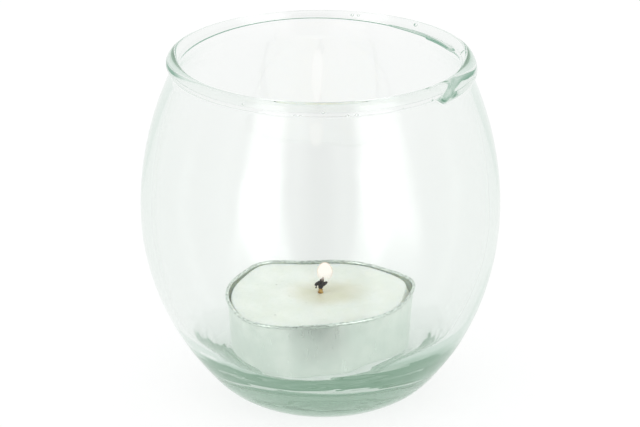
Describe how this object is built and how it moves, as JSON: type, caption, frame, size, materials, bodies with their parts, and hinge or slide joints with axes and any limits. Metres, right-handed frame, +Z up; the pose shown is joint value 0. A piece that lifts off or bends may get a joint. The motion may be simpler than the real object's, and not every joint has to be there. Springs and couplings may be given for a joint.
{
  "type": "glass tealight candle bowl",
  "caption": "Round clear-glass votive bowl with a thick base and rolled rim, holding a tealight candle in an aluminium cup.",
  "frame": {"origin": "middle of the ring that the bowl stands on, at table height", "axes": "+Z up along the bowl's axis, towards its mouth; the front is -Y, as in the picture"},
  "size_m": [0.0716, 0.0716, 0.0711],
  "materials": {
    "glass": "clear pressed soda-lime glass with a faint green tint, glossy",
    "aluminium_foil": "drawn thin aluminium, matte and slightly creased",
    "wax": "cast paraffin wax, waxy satin",
    "wick": "braided cotton, charred above the wax",
    "tinplate": "stamped tinplate, satin"
  },
  "bodies": {
    "bowl": {"glass_base": "glass", "glass_wall": "glass"},
    "tealight": {"tealight_cup": "aluminium_foil"},
    "candle": {"wax_fill": "wax", "wick": "wick", "wick_sustainer": "tinplate"}
  },
  "joints": [
    {"name": "tealight_lift", "type": "slide", "parent": "bowl", "child": "tealight", "axis": [0, 0, 1], "range_m": [0, 0.07]},
    {"name": "candle_lift", "type": "slide", "parent": "tealight", "child": "candle", "axis": [0, 0, 1], "range_m": [0, 0.016]}
  ]
}
